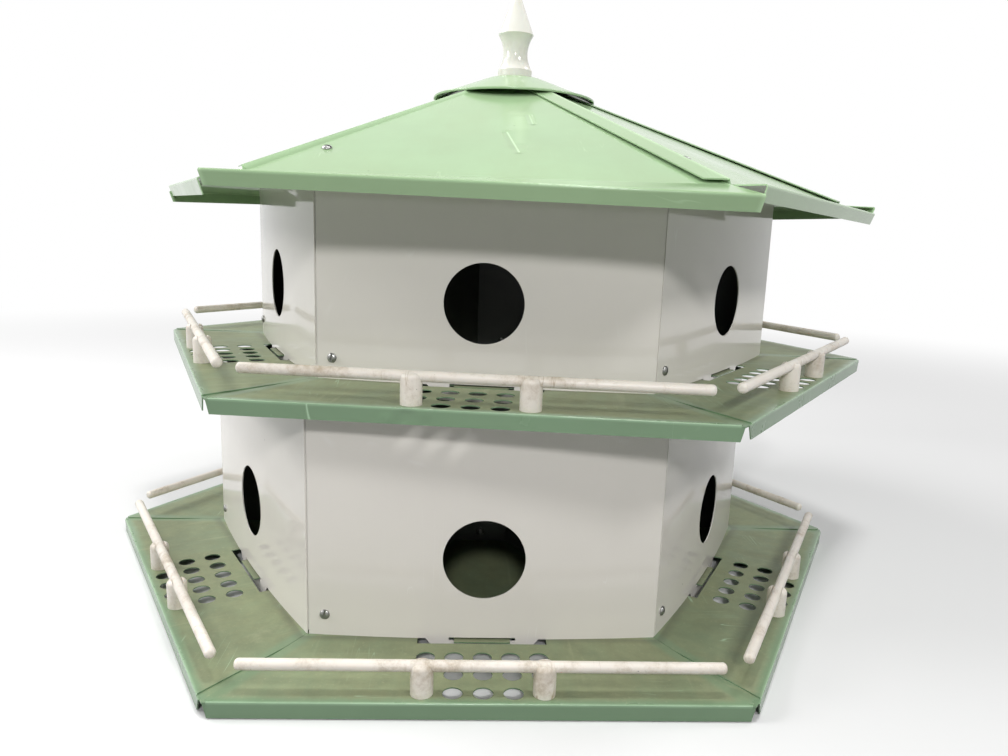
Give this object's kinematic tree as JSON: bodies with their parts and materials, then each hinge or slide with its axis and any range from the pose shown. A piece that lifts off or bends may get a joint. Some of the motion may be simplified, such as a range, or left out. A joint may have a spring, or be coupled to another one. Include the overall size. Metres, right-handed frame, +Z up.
{
  "type": "two-storey hexagonal martin house",
  "caption": "Two-storey hexagonal sheet-aluminium martin house: green roof and porch decks, white walls with round entrances, perch rails, cap and finial.",
  "frame": {"origin": "on the lower storey's pole axis, in the plane of the lower edges of the wall tabs that the house stands on", "axes": "+Z up; -Y out of the lower front room; +X to the right, seen from the front"},
  "size_m": [0.6575, 0.6116, 0.4779],
  "materials": {
    "deck_green": "satin",
    "wall_white": "gloss",
    "roof_green": "gloss",
    "cap_green": "gloss",
    "finial_white": "gloss",
    "perch_white": "satin",
    "inner_white": "satin"
  },
  "bodies": {
    "root": {"finial": "finial_white", "lower_core": "inner_white", "lower_deck_back": "deck_green", "lower_deck_back_left": "deck_green", "lower_deck_back_right": "deck_green", "lower_deck_front": "deck_green", "lower_deck_front_left": "deck_green", "lower_deck_front_right": "deck_green", "lower_partitions": "inner_white", "lower_perch_posts": "perch_white", "lower_perch_rods": "perch_white", "lower_wall_back": "wall_white", "lower_wall_back_left": "wall_white", "lower_wall_back_right": "wall_white", "lower_wall_front": "wall_white", "lower_wall_front_left": "wall_white", "lower_wall_front_right": "wall_white", "roof_cap": "cap_green", "roof_panel_back": "roof_green", "roof_panel_back_left": "roof_green", "roof_panel_back_right": "roof_green", "roof_panel_front": "roof_green", "roof_panel_front_left": "roof_green", "roof_panel_front_right": "roof_green", "upper_core": "inner_white", "upper_deck_back": "deck_green", "upper_deck_back_left": "deck_green", "upper_deck_back_right": "deck_green", "upper_deck_front": "deck_green", "upper_deck_front_left": "deck_green", "upper_deck_front_right": "deck_green", "upper_partitions": "inner_white", "upper_perch_posts": "perch_white", "upper_perch_rods": "perch_white", "upper_wall_back": "wall_white", "upper_wall_back_left": "wall_white", "upper_wall_back_right": "wall_white", "upper_wall_front": "wall_white", "upper_wall_front_left": "wall_white", "upper_wall_front_right": "wall_white"}
  },
  "joints": []
}
